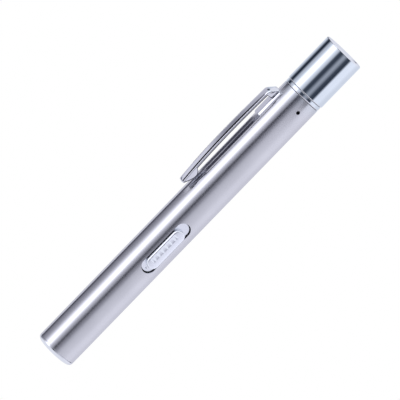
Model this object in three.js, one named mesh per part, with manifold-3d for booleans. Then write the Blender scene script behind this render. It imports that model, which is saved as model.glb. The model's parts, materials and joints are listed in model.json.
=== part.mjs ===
// Pen-shaped medical penlight: a steel tube with a slide switch, a spring pocket clip and a
// lamp head that pulls off its charging plug.
// Millimetres. Origin: centre of the flat tail end. +X: towards the lamp. +Y: clip. +Z: switch.
import * as THREE from 'three';
import { mergeVertices } from 'three/addons/utils/BufferGeometryUtils.js';
import Module from 'manifold-3d';

const wasm = await Module();
wasm.setup();

// Driving dimensions
const TUBE_OD = 14.0;
const TUBE_WALL = 0.5;
const HEAD_OD = 14.4;
const LENGTH = 134.0;
const TAIL_RIM = 1.45;
const TUBE_END = 114.35;
const RING_WIDTH = 1.35;
const JOINT_GAP = 0.15;
const PLATE_X = 49.7;
const PLATE_LENGTH = 20.35;
const PLATE_WIDTH = 4.7;
const PLATE_TOP = 5.75;
const PLATE_GAP = 0.2;
const KNOB_X = 49.35;
const KNOB_LENGTH = 15.7;
const KNOB_WIDTH = 4.4;
const KNOB_TOP = 7.7;
const KNOB_ROUNDING = 1.0;
const SWITCH_TRAVEL = 1.8;
const CLIP_TIP_X = 68.4;
const CLIP_END_X = 111.1;
const CLIP_WIDTH = 4.2;
const CLIP_HEIGHT = 11.04;
const CLIP_FLANGE = 1.05;
const STRIP = 0.4;
const INDICATOR_X = 110.05;
const INDICATOR_D = 1.3;
const CELL_D = 10.0;
const CELL_LENGTH = 44.0;
const CELL_X = 60.6;
const CELL_Y = -0.5;
const CELL_Z = -0.6;
const USB_WIDTH = 12.0;
const USB_HEIGHT = 4.5;
const USB_CORNER = 0.8;
const USB_PROUD = 11.75;
const USB_SHEET = 0.3;

// Worked-out dimensions
const TUBE_R = TUBE_OD / 2;
const TUBE_BORE = TUBE_R - TUBE_WALL;
const INNER_R = TUBE_BORE - 0.12;
const RING_X = TUBE_END + JOINT_GAP;
const HEAD_X = RING_X + RING_WIDTH + JOINT_GAP;
const HEAD_R = HEAD_OD / 2;
const HEAD_BORE = HEAD_R - 0.5;
const SPIGOT_END = HEAD_X + 0.85;
const USB_TIP = SPIGOT_END + USB_PROUD;
const USB_BACK = 107.6;
const BOARD = 1.0;
const ROUND_SIDES = 48;

const FINISHES = {
  satin_steel: { color: 0xb4b5bb, roughness: 0.32, metalness: 1 },
  chrome: { color: 0xd8dade, roughness: 0.08, metalness: 1 },
  switch_plate: { color: 0xc9ced8, roughness: 0.3, metalness: 0.9 },
  black_plastic: { color: 0x1b1c1f, roughness: 0.5, metalness: 0 },
  white_plastic: { color: 0xe9e9e4, roughness: 0.4, metalness: 0 },
  foam: { color: 0x3a3b3d, roughness: 0.95, metalness: 0 },
  cell_wrap: { color: 0x2f6f9f, roughness: 0.35, metalness: 0 },
  nickel: { color: 0xb9b8b0, roughness: 0.3, metalness: 1 },
  circuit_board: { color: 0x14532f, roughness: 0.45, metalness: 0 },
  chip: { color: 0x141416, roughness: 0.4, metalness: 0 },
  gold: { color: 0xd8b25a, roughness: 0.25, metalness: 1 },
  led_white: { color: 0xf2ecb8, roughness: 0.4, metalness: 0 },
  led_warm: { color: 0xf0b04a, roughness: 0.4, metalness: 0 },
  wire_red: { color: 0xb5201c, roughness: 0.5, metalness: 0 },
  wire_black: { color: 0x161616, roughness: 0.5, metalness: 0 },
  clear_plastic: { color: 0xe8f0f4, roughness: 0.08, metalness: 0 },
  smoked_plastic: { color: 0x0c0c0e, roughness: 0.15, metalness: 0 },
  rubber: { color: 0x202022, roughness: 0.8, metalness: 0 },
};

const penlight = new THREE.Group();

function addPart(name, solid, finish) {
  const material = new THREE.MeshStandardMaterial(FINISHES[finish]);
  const geometry = solid.isBufferGeometry ? solid : toGeometry(solid);
  const mesh = new THREE.Mesh(geometry, material);
  mesh.name = name;
  penlight.add(mesh);
  return mesh;
}

function toSolid(geometry) {
  const bare = geometry.index ? geometry.toNonIndexed() : geometry.clone();
  bare.deleteAttribute('normal');
  bare.deleteAttribute('uv');
  const merged = mergeVertices(bare, 1e-4);
  const vertProperties = new Float32Array(merged.attributes.position.array);
  const triVerts = new Uint32Array(merged.index.array);
  return new wasm.Manifold(new wasm.Mesh({ numProp: 3, vertProperties, triVerts }));
}

function toGeometry(solid) {
  const mesh = solid.getMesh();
  const geometry = new THREE.BufferGeometry();
  geometry.setAttribute('position', new THREE.BufferAttribute(mesh.vertProperties, 3));
  geometry.setIndex(new THREE.BufferAttribute(mesh.triVerts, 1));
  return geometry;
}

// A box from its lowest to its highest corner.
function box(x0, y0, z0, x1, y1, z1) {
  const geometry = new THREE.BoxGeometry(x1 - x0, y1 - y0, z1 - z0);
  return geometry.translate((x0 + x1) / 2, (y0 + y1) / 2, (z0 + z1) / 2);
}

// A body turned about the X axis, from a closed outline of [x, radius] points that runs
// anticlockwise: outwards at the front, back along the outside.
function turned(outline, sides = ROUND_SIDES) {
  const points = outline.map(([x, radius]) => new THREE.Vector2(radius, x));
  if (outline[0][1] > 0) {
    points.push(points[0].clone());
  }
  const geometry = new THREE.LatheGeometry(points, sides);
  geometry.rotateZ(-Math.PI / 2);
  geometry.rotateX(Math.PI / sides);
  const solid = toSolid(geometry);
  return solid.volume() < 0 ? toSolid(flipped(geometry)) : solid;
}

function flipped(geometry) {
  const turnedOver = geometry.index ? geometry.toNonIndexed() : geometry.clone();
  const p = turnedOver.attributes.position.array;
  for (let i = 0; i < p.length; i += 9) {
    for (let k = 0; k < 3; k += 1) {
      [p[i + 3 + k], p[i + 6 + k]] = [p[i + 6 + k], p[i + 3 + k]];
    }
  }
  return turnedOver;
}

function disc(x0, x1, radius, sides = ROUND_SIDES) {
  return turned([[x0, 0], [x0, radius], [x1, radius], [x1, 0]], sides);
}

function pipe(x0, x1, inner, outer, sides = ROUND_SIDES) {
  return turned([[x0, inner], [x0, outer], [x1, outer], [x1, inner]], sides);
}

// A prism along Z between two heights, from a THREE.Shape drawn in X and Y.
function prism(shape, z0, z1, curveSegments = 10) {
  const settings = { depth: z1 - z0, bevelEnabled: false, curveSegments };
  return toSolid(new THREE.ExtrudeGeometry(shape, settings).translate(0, 0, z0));
}

function stadium(centreX, length, width) {
  const half = length / 2 - width / 2;
  const shape = new THREE.Shape();
  shape.moveTo(centreX - half, -width / 2);
  shape.lineTo(centreX + half, -width / 2);
  shape.absarc(centreX + half, 0, width / 2, -Math.PI / 2, Math.PI / 2, false);
  shape.lineTo(centreX - half, width / 2);
  shape.absarc(centreX - half, 0, width / 2, Math.PI / 2, Math.PI * 1.5, false);
  return shape;
}

// A rounded rectangle in Y and Z, pushed along X.
function roundedBar(x0, x1, width, height, corner, segments = 4) {
  const w = width / 2;
  const h = height / 2;
  const shape = new THREE.Shape();
  shape.absarc(w - corner, h - corner, corner, 0, Math.PI / 2, false);
  shape.absarc(-w + corner, h - corner, corner, Math.PI / 2, Math.PI, false);
  shape.absarc(-w + corner, -h + corner, corner, Math.PI, Math.PI * 1.5, false);
  shape.absarc(w - corner, -h + corner, corner, Math.PI * 1.5, Math.PI * 2, false);
  const settings = { depth: x1 - x0, bevelEnabled: false, curveSegments: segments };
  const geometry = new THREE.ExtrudeGeometry(shape, settings);
  geometry.rotateY(Math.PI / 2);
  geometry.rotateX(Math.PI / 2);
  return toSolid(geometry.translate(x0, 0, 0));
}

// Points along an arc, from one angle to another in degrees.
function arc(x, r, radius, from, to, steps) {
  const points = [];
  for (let i = 0; i <= steps; i += 1) {
    const angle = THREE.MathUtils.degToRad(from + ((to - from) * i) / steps);
    points.push([x + radius * Math.cos(angle), r + radius * Math.sin(angle)]);
  }
  return points;
}

// ---- Casing ----

function makeTube() {
  const gaps = 2 * PLATE_GAP;
  const opening = prism(stadium(PLATE_X, PLATE_LENGTH + gaps, PLATE_WIDTH + gaps), 3, 8);
  const indicator = toSolid(
    new THREE.CylinderGeometry(INDICATOR_D / 2, INDICATOR_D / 2, 4, 16)
      .rotateX(Math.PI / 2)
      .translate(INDICATOR_X, 0, TUBE_R - 1),
  );
  const tube = pipe(TAIL_RIM + JOINT_GAP, TUBE_END, TUBE_BORE, TUBE_R);
  addPart('barrel_tube', tube.subtract(opening).subtract(indicator), 'satin_steel');
}

function makeTailPlug() {
  const fillet = 1.3;
  const spigotR = TUBE_BORE - 0.1;
  const plug = turned([
    [0, 0],
    ...arc(fillet, TUBE_R - fillet, fillet, 180, 90, 6),
    [TAIL_RIM, TUBE_R],
    [TAIL_RIM, spigotR],
    [8, spigotR],
    [8, spigotR - 1.2],
    [2.2, spigotR - 1.2],
    [2.2, 0],
  ]);
  addPart('tail_plug', plug, 'chrome');
  addPart('tail_cushion', disc(2.4, 9.2, 4.9, 24), 'foam');
}

function makeCollar() {
  addPart('collar_ring', pipe(RING_X, RING_X + RING_WIDTH, TUBE_BORE + 0.18, TUBE_R), 'chrome');
}

// ---- Inside the barrel ----

const CARRIER_X0 = 9.6;
const CARRIER_X1 = CELL_X + CELL_LENGTH + 0.9;
const DECK_Z = -0.4;

function makeCarrier() {
  const round = disc(CARRIER_X0, CARRIER_X1, INNER_R, 32);
  const deck = toSolid(box(0, -8, DECK_Z, LENGTH, 8, 8));
  const cradle = disc(CELL_X - 0.8, CELL_X + CELL_LENGTH + 0.8, CELL_D / 2 + 0.2, 32)
    .translate([0, CELL_Y, CELL_Z]);
  const wireBay = toSolid(box(CARRIER_X0 + 1.5, -3, -3.4, CELL_X - 6, 3, 8));
  addPart('carrier', round.subtract(deck).subtract(cradle).subtract(wireBay), 'black_plastic');
}

// The cell lies below the tube's axis, which leaves room for the wires above it.
function makeCell() {
  const place = (solid) => solid.translate([0, CELL_Y, CELL_Z]);
  const canEnd = CELL_X + CELL_LENGTH - 0.5;
  addPart('battery_cell', place(disc(CELL_X, canEnd, CELL_D / 2, 32)), 'cell_wrap');
  const button = disc(canEnd + 0.02, CELL_X + CELL_LENGTH, 2.2, 20);
  addPart('cell_button', place(button), 'nickel');
  [['minus', CELL_X - 0.3], ['plus', CELL_X + CELL_LENGTH + 0.1]].forEach(([pole, x]) => {
    const tab = toSolid(box(x, -1.5, -2.5, x + 0.15, 1.5, 3.2));
    addPart(`cell_tab_${pole}`, place(tab), 'nickel');
  });
}

const HOUSING_LENGTH = 12.0;
const HOUSING_WIDTH = 4.4;
const LEVER_TOP = 5.0;
const HOUSING_TOP = 3.4;
const BOARD_TOP = DECK_Z + 0.05 + BOARD;

function makeSwitchBoard() {
  addPart('switch_board', box(34, -4.8, BOARD_TOP - BOARD, 59.4, 4.8, BOARD_TOP), 'circuit_board');
  addPart('driver_chip', box(35.2, -2, BOARD_TOP + 0.05, 39.2, 2, BOARD_TOP + 1.4), 'chip');
  const x0 = KNOB_X - HOUSING_LENGTH / 2;
  const x1 = KNOB_X + HOUSING_LENGTH / 2;
  const y = HOUSING_WIDTH / 2;
  const z0 = BOARD_TOP + 0.05;
  const slot = toSolid(box(x0 + 1.8, -0.9, z0 + 0.6, x1 - 1.8, 0.9, HOUSING_TOP + 1));
  const housing = toSolid(box(x0, -y, z0, x1, y, HOUSING_TOP)).subtract(slot);
  addPart('switch_housing', housing, 'black_plastic');
  const skin = 0.2;
  const outer = toSolid(box(x0 + 0.4, -y - 0.25, z0, x1 - 0.4, y + 0.25, HOUSING_TOP + 0.05 + skin));
  const inner = toSolid(box(x0, -y - 0.05, z0 - 1, x1, y + 0.05, HOUSING_TOP + 0.05));
  const window = toSolid(box(x0 + 1.6, -1, HOUSING_TOP - 1, x1 - 1.6, 1, HOUSING_TOP + 1));
  addPart('switch_cover', outer.subtract(inner).subtract(window), 'nickel');
}

const PLATE_THICK = 0.5;
const STEM_WIDTH = 2.0;
const STEM_LENGTH = 4.0;

// A flat plate, sunk in the tube's slot, whose two legs stand on the switch board.
function makeSwitchPlate() {
  const underside = PLATE_TOP - PLATE_THICK;
  let plate = prism(stadium(PLATE_X, PLATE_LENGTH, PLATE_WIDTH), underside, PLATE_TOP, 12);
  const slotLength = STEM_LENGTH + 2 * SWITCH_TRAVEL + 0.8;
  plate = plate.subtract(prism(stadium(KNOB_X, slotLength, STEM_WIDTH + 0.4), 3, 8, 6));
  const dot = new THREE.CylinderGeometry(0.32, 0.32, 0.5, 12).rotateX(Math.PI / 2);
  plate = plate.subtract(toSolid(dot.translate(PLATE_X - PLATE_LENGTH / 2 + 1.1, 0, PLATE_TOP)));
  const legBase = BOARD_TOP + 0.05;
  [PLATE_X - 9, PLATE_X + 7.8].forEach((x) => {
    plate = plate.add(toSolid(box(x, -1.5, legBase, x + 0.7, 1.5, underside + 0.1)));
  });
  addPart('switch_plate', plate, 'switch_plate');
}

const KNOB_BASE = PLATE_TOP + 0.1;
const RIB_COUNT = 6;
const RIB_PITCH = 1.79;
const GROOVE_R = 0.32;

// A pillow-shaped knob in rounded steps, with a top curved like the tube, on a stem that
// reaches down through the plate.
function makeKnob() {
  const shoulder = KNOB_TOP - KNOB_ROUNDING;
  let knob = prism(stadium(KNOB_X, KNOB_LENGTH, KNOB_WIDTH), KNOB_BASE, shoulder, 12);
  const layers = 5;
  for (let i = 0; i < layers; i += 1) {
    const from = THREE.MathUtils.degToRad((90 * i) / layers);
    const to = THREE.MathUtils.degToRad((90 * (i + 1)) / layers);
    const inset = 2 * KNOB_ROUNDING * (1 - Math.cos((from + to) / 2));
    const outline = stadium(KNOB_X, KNOB_LENGTH - inset, KNOB_WIDTH - inset);
    const base = shoulder + KNOB_ROUNDING * Math.sin(from) - 0.01;
    knob = knob.add(prism(outline, base, shoulder + KNOB_ROUNDING * Math.sin(to), 10));
  }
  knob = knob.intersect(disc(0, LENGTH, KNOB_TOP, 2 * ROUND_SIDES));
  const stem = prism(stadium(KNOB_X, STEM_LENGTH, STEM_WIDTH), LEVER_TOP - 1.2, KNOB_BASE + 0.1, 6);
  const pocket = toSolid(box(KNOB_X - 0.95, -0.75, 3, KNOB_X + 0.95, 0.75, LEVER_TOP + 0.1));
  knob = knob.add(stem).subtract(pocket);
  for (let i = 0; i <= RIB_COUNT; i += 1) {
    const x = KNOB_X + (i - RIB_COUNT / 2) * RIB_PITCH;
    const groove = new THREE.CylinderGeometry(GROOVE_R, GROOVE_R, 1.6, 10);
    knob = knob.subtract(toSolid(groove.translate(x, 0.7, KNOB_TOP + 0.06)));
  }
  addPart('switch_knob', knob, 'switch_plate');
  const lever = toSolid(box(KNOB_X - 0.75, -0.6, 1.6, KNOB_X + 0.75, 0.6, LEVER_TOP));
  const carriage = toSolid(box(KNOB_X - 1, -0.8, 1.4, KNOB_X + 1, 0.8, 2.4));
  addPart('switch_lever', lever.add(carriage), 'white_plastic');
}

const CHARGE_X0 = CARRIER_X1 + 0.3;

function makeChargeBoard() {
  const z0 = 3.0;
  const x1 = RING_X - 0.4;
  addPart('charge_board', box(CHARGE_X0, -4.6, z0, x1, 4.6, z0 + 0.8), 'circuit_board');
  addPart('charge_chip', box(x1 - 2.7, -3.6, z0 + 0.85, x1 - 0.5, -1.4, z0 + 1.7), 'chip');
  const ledX0 = INDICATOR_X - 0.8;
  addPart('charge_led', box(ledX0, -0.5, z0 + 0.85, ledX0 + 1.6, 0.5, z0 + 1.5), 'led_white');
  const guide = new THREE.CylinderGeometry(0.5, 0.5, 1.9, 16).rotateX(Math.PI / 2);
  addPart('light_guide', guide.translate(INDICATOR_X, 0, z0 + 1.55 + 0.95), 'smoked_plastic');
}

// ---- Charging plug ----

function makePlug() {
  const gap = 0.06;
  const hole = roundedBar(
    USB_BACK, LENGTH, USB_WIDTH + 2 * gap, USB_HEIGHT + 2 * gap, USB_CORNER + gap,
  );
  const body = disc(CHARGE_X0 + 1.2, TUBE_END + 0.1, INNER_R, 40);
  const flange = disc(TUBE_END + 0.1, SPIGOT_END, TUBE_BORE + 0.06, 40);
  const boardBay = toSolid(box(0, -8, 2.7, TUBE_END + 0.1, 8, 8));
  const sideCut = toSolid(box(0, -8, -1.2, LENGTH, 8, 1.2));
  const block = body.add(flange).subtract(hole).subtract(sideCut);
  const above = toSolid(box(0, -8, 0, LENGTH, 8, 8));
  addPart('plug_clamp_upper', block.intersect(above).subtract(boardBay), 'white_plastic');
  addPart('plug_clamp_lower', block.subtract(above), 'white_plastic');
  makePlugShell();
  const tongueTop = -0.05;
  addPart('plug_tongue', box(USB_BACK + 1, -5.3, -1.85, USB_TIP - 0.4, 5.3, tongueTop), 'white_plastic');
  [-3.5, -1, 1, 3.5].forEach((y, index) => {
    const long = index % 3 === 0 ? 0.8 : 0;
    const x1 = USB_TIP - 2.2 + long;
    const contact = box(USB_TIP - 10, y - 0.55, tongueTop + 0.02, x1, y + 0.55, tongueTop + 0.14);
    addPart(`plug_contact_${index + 1}`, contact, 'gold');
  });
}

function makePlugShell() {
  const w = USB_WIDTH;
  const h = USB_HEIGHT;
  const outer = roundedBar(USB_BACK + 0.1, USB_TIP, w, h, USB_CORNER);
  const inner = roundedBar(
    USB_BACK - 1, USB_TIP + 1, w - 2 * USB_SHEET, h - 2 * USB_SHEET, USB_CORNER - USB_SHEET,
  );
  let shell = outer.subtract(inner);
  const windowX = USB_TIP - 6.5;
  [-2.6, 2.6].forEach((y) => {
    shell = shell.subtract(toSolid(box(windowX, y - 1.1, -4, windowX + 2, y + 1.1, 4)));
  });
  addPart('plug_shell', shell, 'nickel');
}

function wire(name, points, finish) {
  const curve = new THREE.CatmullRomCurve3(points.map((p) => new THREE.Vector3(...p)));
  const section = new THREE.Shape();
  section.absarc(0, 0, 0.35, 0, Math.PI * 2, false);
  const settings = { steps: 24, curveSegments: 4, bevelEnabled: false, extrudePath: curve };
  addPart(name, toSolid(new THREE.ExtrudeGeometry(section, settings)), finish);
}

function makeWires() {
  const boardEnd = 59.7;
  const highZ = 5.65;
  const cellEnd = CELL_X + CELL_LENGTH;
  [['wire_red', 1], ['wire_black', -1]].forEach(([name, side]) => {
    wire(name, [
      [boardEnd - 1.4, side * 2.6, 1.4], [boardEnd - 0.9, side * 2.6, 3.6],
      [CELL_X, side * 2.2, highZ - 0.35], [CELL_X + 5, side * 1.7, highZ],
      [cellEnd - 5, side * 1.7, highZ], [cellEnd, side * 2, highZ - 0.3],
      [cellEnd + 1, side * 2.2, 4.9],
    ], name);
  });
}

// ---- Pocket clip ----

const CLIP_HALF = CLIP_WIDTH / 2;
const CLIP_SPLIT_X = 106.3;
const CLIP_PEAK_X = 89.0;
const LOBE_X = 72.7;
const LOBE_Y = 7.78;
const CHEEK_X = 107.35;
const CHEEK_FLOOR = 7.85;
const FOOT_X = 100.5;
const FOOT_TOP = 7.6;
const FOOT_WIDTH = 4.4;

// The outer face of the clip's arm, from the tip to the shoulder: a shallow bow.
function armTop(x) {
  const tipward = x < CLIP_PEAK_X;
  const drop = tipward ? 0.86 : 0.37;
  const reach = tipward ? CLIP_PEAK_X - CLIP_TIP_X : 107.5 - CLIP_PEAK_X;
  return CLIP_HEIGHT - drop * ((x - CLIP_PEAK_X) / reach) ** 2;
}

// The lower edge of the arm's side flanges, which swell into a lobe near the tip.
function armBottom(x) {
  const flange = armTop(x) - CLIP_FLANGE;
  const tipward = x < LOBE_X;
  const share = Math.abs(x - LOBE_X) / (tipward ? LOBE_X - CLIP_TIP_X : 2.4);
  const swell = Math.max(0, 1 - share ** (tipward ? 1.6 : 2.7));
  const root = armTop(x) - (tipward ? 0.6 : CLIP_FLANGE);
  return Math.min(root + (LOBE_Y - root) * swell, tipward ? root : flange);
}

function sideShape(points) {
  const shape = new THREE.Shape();
  shape.setFromPoints(points.map(([x, y]) => new THREE.Vector2(x, y)));
  return shape;
}

function sampled(from, to, steps, height) {
  const points = [];
  for (let i = 0; i <= steps; i += 1) {
    const x = from + ((to - from) * i) / steps;
    points.push([x, height(x)]);
  }
  return points;
}

function makeClipArm() {
  const x1 = CLIP_SPLIT_X - 0.12;
  const noseTop = [[CLIP_TIP_X, armTop(CLIP_TIP_X) - 0.45], [CLIP_TIP_X + 0.12, armTop(CLIP_TIP_X) - 0.15]];
  const tops = [...noseTop, ...sampled(CLIP_TIP_X + 0.4, x1, 30, armTop)];
  const lobe = sampled(CLIP_TIP_X, LOBE_X + 2.4, 20, armBottom);
  const bottoms = [...lobe, ...sampled(LOBE_X + 4, x1, 14, armBottom)];
  const outer = prism(sideShape([...tops, ...bottoms.reverse()]), -CLIP_HALF, CLIP_HALF);
  const roof = sampled(CLIP_TIP_X + STRIP + 0.1, x1 + 1, 30, (x) => armTop(x) - STRIP);
  const below = [[x1 + 1, TUBE_R - 1], [CLIP_TIP_X + STRIP + 0.1, TUBE_R - 1]];
  const channel = prism(sideShape([...roof, ...below]), -CLIP_HALF + STRIP, CLIP_HALF - STRIP);
  addPart('clip_arm', outer.subtract(channel), 'chrome');
}

// The outer face of the strip over the shoulder and round the nose, set in by a margin.
function bendFace(margin) {
  const slopeX = 110.6 - margin;
  const slopeY = 8.74 - margin * 0.42;
  return [
    [108.3 - margin * 0.4, armTop(107.5) - 0.04 - margin], [109.0 - margin * 0.6, 10.36 - margin * 0.8],
    [slopeX, slopeY], [CLIP_END_X - 0.1 - margin, 8.35 - margin * 0.2], [CLIP_END_X - margin, 7.95],
  ];
}

// The strip goes over a sloping shoulder, turns back under itself and ends in a foot that is
// welded to the tube. Side cheeks close the bend, each with a slit stamped through it.
function makeClipFoot() {
  const x0 = CLIP_SPLIT_X + 0.12;
  const base = TUBE_R + 0.08;
  const noseEnd = [[CLIP_END_X - 0.15, 7.45], [CLIP_END_X - 0.5, base], [110.2, base], [110.2, FOOT_TOP]];
  const cheekEdge = [
    [110.5, CHEEK_FLOOR], [CHEEK_X, CHEEK_FLOOR], [CHEEK_X, armBottom(CHEEK_X)], [x0, armBottom(x0)],
  ];
  const outline = [[x0, armTop(x0)], ...bendFace(0), ...noseEnd, ...cheekEdge];
  const hollowEnd = [[CLIP_END_X - STRIP - 0.2, FOOT_TOP], [x0 - 1, FOOT_TOP]];
  const hollow = [[x0 - 1, armTop(x0) - STRIP], ...bendFace(STRIP), ...hollowEnd];
  const inner = prism(sideShape(hollow), -CLIP_HALF + STRIP, CLIP_HALF - STRIP);
  const slit = new THREE.Shape();
  slit.moveTo(108.4, 9.45);
  slit.quadraticCurveTo(109.6, 9.3, 110.05, 8.4);
  slit.quadraticCurveTo(109.0, 8.7, 108.4, 9.45);
  const bend = prism(sideShape(outline), -CLIP_HALF, CLIP_HALF).subtract(inner)
    .subtract(prism(slit, -CLIP_HALF - 1, CLIP_HALF + 1));
  const plate = roundedBar(FOOT_X, 110.4, 2, FOOT_WIDTH, 0.8).translate([0, FOOT_TOP - 1, 0])
    .subtract(disc(FOOT_X - 1, LENGTH, TUBE_R + 0.06));
  addPart('clip_foot', bend.add(plate), 'chrome');
}

// ---- Lamp head ----

const LIP_X = LENGTH - 0.8;
const POCKET_END = USB_TIP + 0.3;
const SOCKET_END = POCKET_END + 1.0;
const LAMP_BOARD_X = SOCKET_END + 0.08;

function makeHeadShell() {
  const edge = 0.6;
  const mouthR = 5.6;
  const shell = turned([
    [HEAD_X, HEAD_BORE],
    [HEAD_X, HEAD_R - 0.2],
    [HEAD_X + 0.2, HEAD_R],
    [LENGTH - edge, HEAD_R],
    ...arc(LENGTH - edge, HEAD_R - edge, edge, 90, 0, 4),
    [LENGTH, mouthR + 0.3],
    [LIP_X, mouthR],
    [LIP_X, HEAD_BORE],
  ]);
  addPart('head_shell', shell, 'chrome');
}

function makeSocket() {
  const w = USB_WIDTH + 0.24;
  const h = USB_HEIGHT + 0.24;
  const x0 = SPIGOT_END + 0.3;
  const pocket = roundedBar(x0 - 1, POCKET_END, w, h, USB_CORNER + 0.1);
  const tongue = toSolid(box(x0 + 2.6, -5.1, 0.75, POCKET_END + 0.2, 5.1, 1.8));
  let socket = disc(x0, SOCKET_END, HEAD_BORE - 0.12, 40).subtract(pocket).add(tongue);
  [-3.5, -1, 1, 3.5].forEach((y) => {
    socket = socket.subtract(toSolid(box(POCKET_END - 0.5, y - 0.55, 0.25, SOCKET_END + 1, y + 0.55, 0.7)));
  });
  addPart('head_socket', socket, 'white_plastic');
  [-3.5, -1, 1, 3.5].forEach((y, index) => {
    const spring = box(x0 + 3, y - 0.4, 0.32, SOCKET_END, y + 0.4, 0.6);
    addPart(`socket_spring_${index + 1}`, spring, 'gold');
  });
}

function makeLamp() {
  const boardEnd = LAMP_BOARD_X + 0.7;
  addPart('lamp_board', disc(LAMP_BOARD_X, boardEnd, HEAD_BORE - 0.15, 32), 'circuit_board');
  const ledX = boardEnd + 0.04;
  addPart('led_white', box(ledX, -1.2, 0.25, ledX + 0.8, 1.2, 2.25), 'led_white');
  addPart('led_warm', box(ledX, -1.2, -2.25, ledX + 0.8, 1.2, -0.25), 'led_warm');
  const lensX0 = LIP_X - 1.25;
  const reflector = turned([
    [ledX, 2.9], [ledX, HEAD_BORE - 0.15], [lensX0 - 0.06, HEAD_BORE - 0.15], [lensX0 - 0.06, 5.7],
    [ledX + 1.0, 4.1],
  ]);
  addPart('reflector', reflector, 'chrome');
  const lensX1 = LIP_X - 0.32;
  const lens = turned([
    [lensX0, 0], [lensX0, HEAD_BORE - 0.15], [lensX1, HEAD_BORE - 0.15], [lensX1, 5.4],
    [lensX1 + 0.25, 4.4], [lensX1 + 0.45, 2.4], [lensX1 + 0.5, 0],
  ]);
  addPart('lens', lens, 'clear_plastic');
  addPart('lens_gasket', pipe(lensX1 + 0.04, LIP_X - 0.04, 5.65, HEAD_BORE - 0.15), 'rubber');
}

makeTube();
makeTailPlug();
makeCollar();
makeCarrier();
makeCell();
makeSwitchBoard();
makeSwitchPlate();
makeKnob();
makeChargeBoard();
makePlug();
makeWires();
makeClipArm();
makeClipFoot();
makeHeadShell();
makeSocket();
makeLamp();

export default penlight;
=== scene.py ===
"""A pen-shaped medical penlight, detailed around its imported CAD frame. Metres, in the part's frame.

X runs along the pen from its tail to its lamp, +Y is the clip's side and +Z is the switch's side.
"""

import json
import math

import bmesh
import bpy
from mathutils import Matrix, Vector


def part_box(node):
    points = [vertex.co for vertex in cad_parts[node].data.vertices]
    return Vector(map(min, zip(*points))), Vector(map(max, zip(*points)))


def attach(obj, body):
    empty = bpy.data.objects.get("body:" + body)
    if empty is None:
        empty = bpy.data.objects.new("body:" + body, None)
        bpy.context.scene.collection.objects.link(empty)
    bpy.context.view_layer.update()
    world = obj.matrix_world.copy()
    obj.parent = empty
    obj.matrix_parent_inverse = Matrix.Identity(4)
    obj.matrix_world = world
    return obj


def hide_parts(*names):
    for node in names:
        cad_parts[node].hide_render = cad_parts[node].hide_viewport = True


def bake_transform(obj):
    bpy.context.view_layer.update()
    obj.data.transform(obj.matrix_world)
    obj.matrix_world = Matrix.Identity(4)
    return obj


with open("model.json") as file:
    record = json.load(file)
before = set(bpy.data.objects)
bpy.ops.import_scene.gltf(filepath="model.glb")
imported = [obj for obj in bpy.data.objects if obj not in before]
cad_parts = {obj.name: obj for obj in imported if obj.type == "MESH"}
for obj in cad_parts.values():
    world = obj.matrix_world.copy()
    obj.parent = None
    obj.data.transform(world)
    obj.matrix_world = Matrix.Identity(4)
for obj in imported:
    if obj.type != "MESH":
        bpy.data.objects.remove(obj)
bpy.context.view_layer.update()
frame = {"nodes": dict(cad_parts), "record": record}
MM = 0.001
X, Y, Z = 0, 1, 2


def node_span(node, axis):
    """The lowest and highest coordinate of a CAD node along X, Y or Z."""
    low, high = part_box(node)
    return low[axis], high[axis]


TUBE_X = node_span("barrel_tube", X)
TAIL_X = node_span("tail_plug", X)
RING_X = node_span("collar_ring", X)
HEAD_X = node_span("head_shell", X)
PLATE_X = node_span("switch_plate", X)
PLATE_Y = node_span("switch_plate", Y)
PLATE_TOP = node_span("switch_plate", Z)[1]
PLATE_MID = sum(PLATE_X) / 2
KNOB_X = node_span("switch_knob", X)
KNOB_Y = node_span("switch_knob", Y)
KNOB_TOP = node_span("switch_knob", Z)[1]
KNOB_MID = sum(KNOB_X) / 2
TUBE_R = node_span("barrel_tube", Z)[1]
HEAD_R = node_span("head_shell", Z)[1]
TUBE_WALL = 0.5 * MM
PLATE_GAP = 0.2 * MM
CUTTER_Z = 3 * MM, 9 * MM  # The tools reach through the upper wall only.
SIDES = 192
FINE_SIDES = 128


# ---- Mesh tools ----

def new_object(name, verts, faces, material=None, smooth_angle=35, face_slots=None):
    """A mesh object with outward faces, smooth below an angle in degrees."""
    mesh = bpy.data.meshes.new(name)
    mesh.from_pydata([tuple(v) for v in verts], [], faces)
    if face_slots:
        mesh.polygons.foreach_set("material_index", face_slots)
    mesh.validate()
    obj = bpy.data.objects.new(name, mesh)
    bpy.context.scene.collection.objects.link(obj)
    clean(obj)
    shade(obj, smooth_angle)
    if material:
        mesh.materials.append(material)
    return obj


def clean(obj):
    """Merges doubled vertices and points every face outwards."""
    work = bmesh.new()
    work.from_mesh(obj.data)
    bmesh.ops.remove_doubles(work, verts=work.verts, dist=1e-7)
    bmesh.ops.recalc_face_normals(work, faces=work.faces)
    work.to_mesh(obj.data)
    work.free()


def shade(obj, angle):
    """Smooth faces with sharp edges above an angle, and big faces setting the normals."""
    mesh = obj.data
    mesh.polygons.foreach_set("use_smooth", [True] * len(mesh.polygons))
    work = bmesh.new()
    work.from_mesh(mesh)
    limit = math.radians(angle)
    for edge in work.edges:
        if len(edge.link_faces) == 2:
            edge.smooth = edge.calc_face_angle(0) < limit
    work.to_mesh(mesh)
    work.free()
    if "weighted" not in obj.modifiers:
        weighted = obj.modifiers.new("weighted", "WEIGHTED_NORMAL")
        weighted.mode = "FACE_AREA"
        weighted.weight = 80
        weighted.keep_sharp = True


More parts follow.
